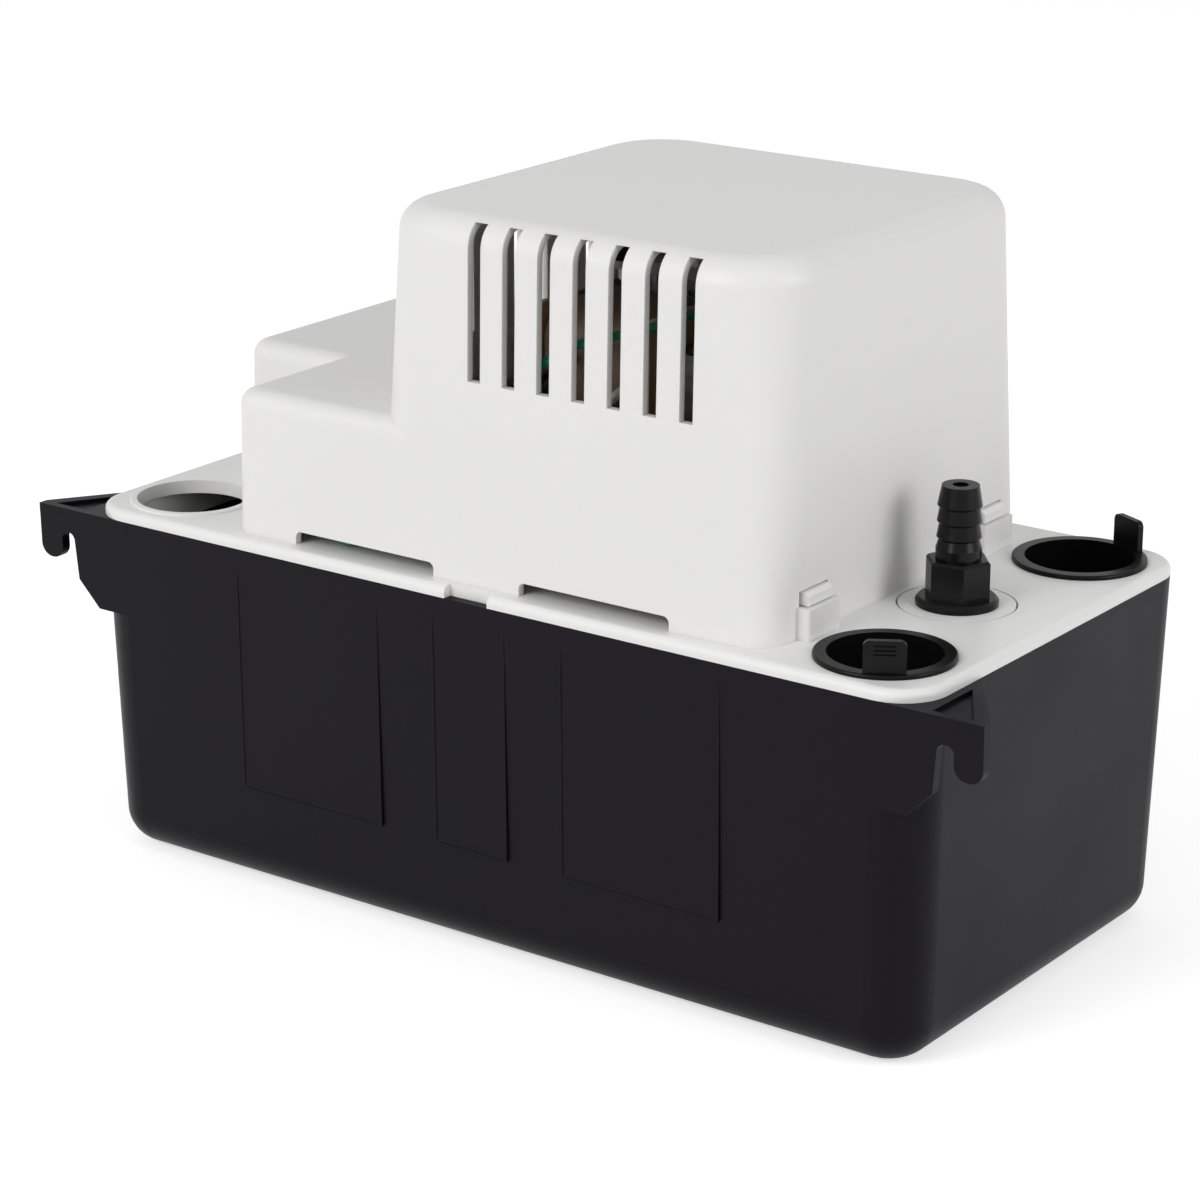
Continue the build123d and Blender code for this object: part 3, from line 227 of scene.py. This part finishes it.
TURNED_STEEL = Finish("turned_steel", (0.45, 0.45, 0.46), 0.3, metallic=1.0, grain=Grain.BRUSHED,
                      relief=0.01 * MM)
PLATED_STEEL = Finish("plated_steel", (0.62, 0.62, 0.63), 0.25, metallic=1.0, grain=Grain.BRUSHED,
                      relief=0.005 * MM)
CAST_ZINC = Finish("cast_zinc", (0.48, 0.48, 0.49), 0.42, metallic=0.9, pitch=0.9 * MM, relief=0.03 * MM)
WINDING_TAPE = Finish("winding_tape", (0.115, 0.072, 0.042), 0.5, pitch=0.5 * MM, relief=0.03 * MM,
                      mottle=0.16)
WIRE_COPPER = Finish("wire_copper", (0.42, 0.13, 0.045), 0.3, metallic=0.9, grain=Grain.SMOOTH,
                     mottle=0.12)
SINTERED_BRONZE = Finish("sintered_bronze", (0.42, 0.27, 0.11), 0.42, metallic=0.9)
BOBBIN_NYLON = Finish("bobbin_nylon", (0.36, 0.22, 0.11), 0.4)
FAN_BLACK = Finish("fan_black", (0.012, 0.012, 0.013), 0.38)
SWITCH_BLACK = Finish("switch_black", (0.012, 0.011, 0.011), 0.35)
BUTTON_RED = Finish("button_red", (0.35, 0.02, 0.015), 0.35)
ACETAL_WHITE = Finish("acetal_white", (0.78, 0.78, 0.75), 0.3)
CLEAR_VINYL = Finish("clear_vinyl", (0.75, 0.77, 0.74), 0.2, transmission=0.7, grain=Grain.SMOOTH)
LEAD_GREEN = Finish("lead_green", (0.0, 0.19, 0.09), 0.4, grain=Grain.SMOOTH)
LEAD_BLACK = Finish("lead_black", (0.012, 0.012, 0.012), 0.4, grain=Grain.SMOOTH)
LEAD_WHITE = Finish("lead_white", (0.75, 0.75, 0.72), 0.4, grain=Grain.SMOOTH)

NODE_FINISHES: dict[str, Finish] = {
    "tank": RESERVOIR_BLACK,
    "deck": DECK_WHITE,
    "motor_cover": COVER_WHITE,
    "discharge_adapter": DECK_WHITE,
    "check_valve_body": FITTING_BLACK,
    "check_valve_seal": SOFT_RUBBER,
    "check_valve_seat": ACETAL_WHITE,
    "check_ball": ACETAL_WHITE,
    "discharge_tube": CLEAR_VINYL,
    "inlet_plug_front": PLUG_BLACK,
    "inlet_plug_rear": PLUG_BLACK,
    "pump_column": PUMP_GREY,
    "volute_housing": PUMP_GREY,
    "intake_cover": PUMP_GREY,
    "impeller": PUMP_GREY,
    "volute_screws": PLATED_STEEL,
    "float": FLOAT_FOAM,
    "float_arm": PLUG_BLACK,
    "float_pivot_pin": PLATED_STEEL,
    "stator_laminations": STACK_STEEL,
    "rotor": TURNED_STEEL,
    "motor_shaft": PLATED_STEEL,
    "motor_coil": WIRE_COPPER,
    "shading_rings": WIRE_COPPER,
    "coil_bobbin": BOBBIN_NYLON,
    "upper_bearing_bracket": CAST_ZINC,
    "lower_bearing_bracket": CAST_ZINC,
    "upper_bearing": SINTERED_BRONZE,
    "lower_bearing": SINTERED_BRONZE,
    "motor_screws": PLATED_STEEL,
    "cooling_fan": FAN_BLACK,
    "run_switch": SWITCH_BLACK,
    "safety_switch": SWITCH_BLACK,
    "run_switch_lever": PLATED_STEEL,
    "safety_switch_lever": PLATED_STEEL,
    "run_switch_button": BUTTON_RED,
    "safety_switch_button": BUTTON_RED,
    "switch_bracket": CAST_ZINC,
    "switch_screws": PLATED_STEEL,
    "switch_terminals": PLATED_STEEL,
    "cord_gland": FITTING_BLACK,
    "lead_green": LEAD_GREEN,
    "lead_black": LEAD_BLACK,
    "lead_white": LEAD_WHITE,
}


class Workshop:
    """Keeps one Blender material for each finish and dresses objects with it."""

    def __init__(self) -> None:
        """Start with no materials made."""
        self._made: dict[str, bpy.types.Material] = {}

    def material(self, finish: Finish) -> bpy.types.Material:
        """Give the material of a finish, made the first time it is asked for.

        Args:
            finish: the finish wanted.

        Returns:
            Its material.
        """
        if finish.name not in self._made:
            self._made[finish.name] = finish.build()
        return self._made[finish.name]

    def dress(self, piece: bpy.types.Object, finish: Finish) -> None:
        """Put a finish on every material slot of a piece.

        Args:
            piece: the object to dress.
            finish: its finish.
        """
        material = self.material(finish)
        if not piece.material_slots:
            piece.data.materials.append(material)
        for holder in piece.material_slots:
            holder.link = "OBJECT"
            holder.material = material


# ---------------------------------------------------------------- surfaces
def smooth_piece(name: str, points: np.ndarray, faces: list[list[int]]) -> bpy.types.Object:
    """Make a smooth shaded object from points and faces.

    Args:
        name: name of the object and its mesh.
        points: points as an array whose last axis holds three coordinates.
        faces: the corners of each face, as places in the flattened points.

    Returns:
        The object, linked to the scene.
    """
    mesh = bpy.data.meshes.new(name)
    mesh.from_pydata(points.reshape(-1, 3).tolist(), [], faces)
    mesh.polygons.foreach_set("use_smooth", np.ones(len(faces), dtype=bool))
    mesh.update()
    piece = bpy.data.objects.new(name, mesh)
    bpy.context.scene.collection.objects.link(piece)
    return piece


def closed_sheet(name: str, grid: np.ndarray) -> bpy.types.Object:
    """Make an object from a grid of points that closes on itself in both directions.

    Args:
        name: name of the object and its mesh.
        grid: points as an array of rows, columns and three coordinates; the last row meets the first,
            and the last column meets the first.

    Returns:
        The object, smooth shaded and linked to the scene.
    """
    rows, columns = grid.shape[:2]
    row = np.arange(rows)[:, None]
    column = np.arange(columns)[None, :]
    below, beside = (row + 1) % rows, (column + 1) % columns
    near, far = row * columns, below * columns
    faces = np.stack((near + column, far + column, far + beside, near + beside), axis=-1)
    return smooth_piece(name, grid, faces.reshape(-1, 4).tolist())


def capped_tube(name: str, grid: np.ndarray) -> bpy.types.Object:
    """Make an object from rings of points, closed round each ring and capped at both ends.

    Args:
        name: name of the object and its mesh.
        grid: points as an array of rings, points round a ring and three coordinates.

    Returns:
        The object, smooth shaded and linked to the scene.
    """
    rings, count = grid.shape[:2]
    ring = np.arange(rings - 1)[:, None] * count
    column = np.arange(count)[None, :]
    beside = (column + 1) % count
    sides = np.stack((ring + column, ring + beside, ring + count + beside, ring + count + column), axis=-1)
    first = np.arange(count)[::-1]
    last = np.arange(count) + (rings - 1) * count
    return smooth_piece(name, grid, [*sides.reshape(-1, 4).tolist(), first.tolist(), last.tolist()])


# ---------------------------------------------------------------- reservoir
@dataclass(frozen=True)
class PadBeads:
    """Fine moulded beads along the left and lower edges of the reservoir's front pads.

    Attributes:
        spans: start and end of each pad, along X.
        foot: height of the pads' lower edges.
        head: height at which the upright beads fade into the wall.
        foot_face: Y of the pads' face at their lower edges.
        head_face: Y of the pads' face at the upper end of the beads.
        radius: radius of a bead.
        fade: length over which a bead thins out at its far end.
        steps: points along a bead and round it.
        least_share: square of the smallest share of the radius that a bead keeps at its ends.
    """

    spans: tuple[tuple[float, float], ...] = (
        (-72.8 * MM, -28.3 * MM),
        (-11.1 * MM, 10.3 * MM),
        (26.9 * MM, 71.5 * MM),
    )
    foot: float = 26.4 * MM
    head: float = 84.0 * MM
    foot_face: float = -62.1 * MM
    head_face: float = -62.7 * MM
    radius: float = 0.22 * MM
    fade: float = 6.0 * MM
    steps: tuple[int, int] = (49, 12)
    least_share: float = 0.0004

    def build(self, workshop: Workshop) -> None:
        """Make two beads for each pad.

        Args:
            workshop: keeper of the materials.
        """
        for number, (start, end) in enumerate(self.spans, start=1):
            upright = ((start, self.foot_face, self.foot), (start, self.head_face, self.head))
            level = ((start, self.foot_face, self.foot), (end, self.foot_face, self.foot))
            for kind, line in (("side", upright), ("foot", level)):
                piece = self._bead(f"pad_{number}_{kind}_bead", *line)
                workshop.dress(piece, RESERVOIR_BLACK)
                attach(piece, "tank")
                LOG.info("built %s", piece.name)

    def _bead(self, name: str, start: Point, end: Point) -> bpy.types.Object:
        """Make one straight bead.

        A point is the place along the straight line plus the bead's radius times a unit vector that turns
        round the line. The radius falls off as a square root of the distance left, over one radius at the
        first end and over the fade at the far end, down to the least share.

        Args:
            name: name of the piece.
            start: first end of the bead.
            end: far end of the bead.

        Returns:
            The bead.
        """
        along, around = self.steps
        first, last = np.array(start), np.array(end)
        length = float(np.linalg.norm(last - first))
        share = np.linspace(0.0, 1.0, along)
        ends = np.minimum(share * length / self.radius, (1 - share) * length / self.fade)
        width = self.radius * np.sqrt(np.clip(ends, self.least_share, 1.0))
        way = (last - first) / length
        out = np.array((0.0, -1.0, 0.0))
        side = np.cross(way, out)
        side /= np.linalg.norm(side)
        out = np.cross(side, way)
        angle = np.linspace(0.0, 2 * math.pi, around, endpoint=False)
        turn = np.cos(angle)[:, None] * out + np.sin(angle)[:, None] * side
        spine = first + share[:, None] * (last - first)
        grid = spine[:, None, :] + width[:, None, None] * turn[None, :, :]
        return capped_tube(name, grid)


# ---------------------------------------------------------------- winding
@dataclass(frozen=True)
class TapedWinding:
    """The motor's winding, wrapped in turns of varnished tape that overlap.

    Attributes:
        core_width: width of the wound leg with its bobbin, along Y.
        core_height: height of the wound leg with its bobbin, along Z.
        tape_pitch: advance of one turn of tape.
        tape_lap: thickness of one layer of tape.
        bore_gap: distance from the core to the winding's bore.
        end_rounding: radius of the winding's ends.
        corner_steps: points round each corner.
        length_steps: points along the winding.
    """

    core_width: float = 16.0 * MM
    core_height: float = 25.0 * MM
    tape_pitch: float = 6.0 * MM
    tape_lap: float = 0.35 * MM
    bore_gap: float = 1.5 * MM
    end_rounding: float = 3.0 * MM
    corner_steps: int = 14
    length_steps: int = 181

    def build(self, workshop: Workshop) -> None:
        """Make the winding in the place of its solid.

        The path is the core's rectangle pushed outwards by a distance d: each corner of the rectangle plus
        d times the unit vector at an angle, with the angle running through a quarter turn at each corner.
        The distance d follows a closed profile along X: the outer line with its ends rounded off by a
        quarter circle, less a saw tooth of one tape thickness for each turn, then straight back along
        the bore.

        Args:
            workshop: keeper of the materials.
        """
        low, high = (np.array(corner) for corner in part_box("motor_coil"))
        middle, half = (low + high) / 2, (high - low) / 2
        outer = min(half[1] - self.core_width / 2, half[2] - self.core_height / 2)
        along = np.linspace(-1.0, 1.0, self.length_steps)
        past = np.clip(1 + (np.abs(along) - 1) * half[0] / self.end_rounding, 0, 1)
        fall = self.end_rounding * (1 - np.sqrt(1 - past**2))
        turns = ((along + 1) * half[0] / self.tape_pitch) % 1.0
        top = outer - fall - self.tape_lap * turns
        distance = np.concatenate((top, np.full(2, self.bore_gap)))
        place = np.concatenate((along * half[0], (half[0], -half[0])))
        quarter = np.linspace(0, math.pi / 2, self.corner_steps)
        angle = (quarter[None, :] + np.arange(4)[:, None] * math.pi / 2).ravel()
        side_y = np.repeat((1, -1, -1, 1), self.corner_steps) * self.core_width / 2
        side_z = np.repeat((1, 1, -1, -1), self.corner_steps) * self.core_height / 2
        grid = np.empty((angle.size, distance.size, 3))
        grid[..., 0] = middle[0] + place[None, :]
        grid[..., 1] = middle[1] + side_y[:, None] + np.cos(angle)[:, None] * distance[None, :]
        grid[..., 2] = middle[2] + side_z[:, None] + np.sin(angle)[:, None] * distance[None, :]
        piece = closed_sheet("taped_winding", grid)
        workshop.dress(piece, WINDING_TAPE)
        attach(piece, "head")
        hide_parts("motor_coil")
        LOG.info("built the taped winding")


# ---------------------------------------------------------------- studio
@dataclass(frozen=True)
class ViewPoint:
    """The camera: where it looks from, what it aims at and how long its lens is.

    Attributes:
        azimuth: turn round the pump from the front, towards its right side.
        elevation: angle above the floor.
        roll: lean of the picture.
        distance: distance from the aim point.
        aim: point in the middle of the picture.
        lens_mm: focal length, in millimetres.
        sensor_mm: width of the sensor, in millimetres.
        clip: nearest and farthest distance that is drawn.
    """

    azimuth: float = 36.05
    elevation: float = 18.39
    roll: float = 0.07
    distance: float = 0.89803
    aim: Point = (-0.0036, -0.0052, 0.0746)
    lens_mm: float = 107.93
    sensor_mm: float = 36.0
    clip: tuple[float, float] = (0.02, 30.0)

    def place(self) -> None:
        """Put the camera at its distance back from the aim point along its own axis."""
        turn, tilt, lean = (math.radians(a) for a in (self.azimuth, self.elevation, self.roll))
        back = Vector((math.sin(turn) * math.cos(tilt), -math.cos(turn) * math.cos(tilt), math.sin(tilt)))
        level = Vector((math.cos(turn), math.sin(turn), 0.0))
        rise = back.cross(level)
        side = level * math.cos(lean) + rise * math.sin(lean)
        up = rise * math.cos(lean) - level * math.sin(lean)
        data = bpy.data.cameras.new("camera")
        data.sensor_width = self.sensor_mm
        data.lens = self.lens_mm
        data.clip_start, data.clip_end = self.clip
        camera = bpy.data.objects.new("camera", data)
        camera.matrix_world = Matrix((
            (side.x, up.x, back.x, 0.0),
            (side.y, up.y, back.y, 0.0),
            (side.z, up.z, back.z, 0.0),
            (0.0, 0.0, 0.0, 1.0),
        ))
        camera.location = Vector(self.aim) + back * self.distance
        bpy.context.scene.collection.objects.link(camera)
        bpy.context.scene.camera = camera


@dataclass(frozen=True)
class Softbox:
    """A square lamp with a soft edge, aimed at the pump.

    Attributes:
        name: name of the lamp.
        place: middle of the lamp.
        aim: point that the lamp faces.
        side: length of its sides.
        power: power of the lamp, in watts.
    """

    name: str
    place: Point
    aim: Point
    side: float
    power: float

    def hang(self) -> None:
        """Hang the lamp at its place, facing its aim point."""
        data = bpy.data.lights.new(self.name, "AREA")
        data.shape = "SQUARE"
        data.size = self.side
        data.energy = self.power
        lamp = bpy.data.objects.new(self.name, data)
        lamp.location = self.place
        lamp.rotation_euler = (Vector(self.aim) - Vector(self.place)).to_track_quat("-Z", "Y").to_euler()
        bpy.context.scene.collection.objects.link(lamp)


@dataclass(frozen=True)
class Studio:
    """A pale floor, an even white surround and two soft lamps.

    Attributes:
        floor_side: length of the floor's sides.
        floor_drop: distance of the floor below the pump's feet.
        floor_colour: linear colour of the floor.
        floor_glow: strength of the floor's own light for seen rays.
        surround_light: strength of the surround's light on the pump.
        lamps: the two lamps.
    """

    floor_side: float = 12.0
    floor_drop: float = 0.0002
    floor_colour: Colour = (0.80, 0.80, 0.80)
    floor_glow: float = 0.56
    surround_light: float = 0.56
    lamps: tuple[Softbox, ...] = (
        Softbox("front_softbox", (-0.50, -1.75, 1.05), PUMP_MIDDLE, 1.1, 20.0),
        Softbox("right_softbox", (1.75, 0.10, 0.80), PUMP_MIDDLE, 0.9, 11.0),
    )

    def build(self) -> None:
        """Lay the floor, light the surround and hang the lamps."""
        self._floor()
        self._surround()
        for lamp in self.lamps:
            lamp.hang()
        bpy.context.scene.view_settings.view_transform = "Standard"

    def _seen_ray(self, tree: bpy.types.NodeTree) -> bpy.types.NodeSocket:
        """Make a factor that is 1 for rays that see the background, in the eye, in gloss or through glass.

        Args:
            tree: node tree that receives the nodes.

        Returns:
            The factor's socket.
        """
        path = tree.nodes.new("ShaderNodeLightPath")
        total = path.outputs["Is Camera Ray"]
        for kind in ("Is Glossy Ray", "Is Transmission Ray"):
            either = tree.nodes.new("ShaderNodeMath")
            either.operation = "MAXIMUM"
            tree.links.new(total, either.inputs[0])
            tree.links.new(path.outputs[kind], either.inputs[1])
            total = either.outputs["Value"]
        return total

    def _floor(self) -> None:
        """Lay a square floor that takes the pump's shadow and glows a little for seen rays."""
        half = self.floor_side / 2
        corners = ((-half, -half), (half, -half), (half, half), (-half, half))
        mesh = bpy.data.meshes.new("studio_floor")
        mesh.from_pydata([(x, y, -self.floor_drop) for x, y in corners], [], [(0, 1, 2, 3)])
        floor = bpy.data.objects.new("studio_floor", mesh)
        bpy.context.scene.collection.objects.link(floor)
        material = bpy.data.materials.new("floor_paper")
        material.use_nodes = True
        tree = material.node_tree
        tree.nodes.clear()
        output = tree.nodes.new("ShaderNodeOutputMaterial")
        matte = tree.nodes.new("ShaderNodeBsdfDiffuse")
        matte.inputs["Color"].default_value = (*self.floor_colour, 1.0)
        glow = tree.nodes.new("ShaderNodeEmission")
        strength = tree.nodes.new("ShaderNodeMath")
        strength.operation = "MULTIPLY"
        strength.inputs[1].default_value = self.floor_glow
        tree.links.new(self._seen_ray(tree), strength.inputs[0])
        tree.links.new(strength.outputs["Value"], glow.inputs["Strength"])
        both = tree.nodes.new("ShaderNodeAddShader")
        tree.links.new(matte.outputs["BSDF"], both.inputs[0])
        tree.links.new(glow.outputs["Emission"], both.inputs[1])
        tree.links.new(both.outputs["Shader"], output.inputs["Surface"])
        mesh.materials.append(material)

    def _surround(self) -> None:
        """Light the world evenly, and show it pure white to seen rays."""
        world = bpy.data.worlds.new("surround")
        world.use_nodes = True
        tree = world.node_tree
        tree.nodes.clear()
        output = tree.nodes.new("ShaderNodeOutputWorld")
        light = tree.nodes.new("ShaderNodeBackground")
        strength = tree.nodes.new("ShaderNodeMapRange")
        strength.inputs["To Min"].default_value = self.surround_light
        strength.inputs["To Max"].default_value = 1.0
        tree.links.new(self._seen_ray(tree), strength.inputs["Value"])
        tree.links.new(strength.outputs["Result"], light.inputs["Strength"])
        tree.links.new(light.outputs["Background"], output.inputs["Surface"])
        bpy.context.scene.world = world


# ---------------------------------------------------------------- main
def dress_solids(frame: dict, workshop: Workshop) -> None:
    """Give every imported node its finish.

    Args:
        workshop: keeper of the materials.
    """
    for name, node in frame["nodes"].items():
        workshop.dress(node, NODE_FINISHES[name])
        LOG.info("dressed %s in %s", name, NODE_FINISHES[name].name)


def main() -> None:
    """Load the frame, dress it, build the added pieces and set the studio."""
    logging.basicConfig(level=logging.INFO, format="%(name)s: %(message)s")
    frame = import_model()
    workshop = Workshop()
    dress_solids(frame, workshop)
    TapedWinding().build(workshop)
    PadBeads().build(workshop)
    Studio().build()
    ViewPoint().place()


if __name__ == "__main__":
    main()
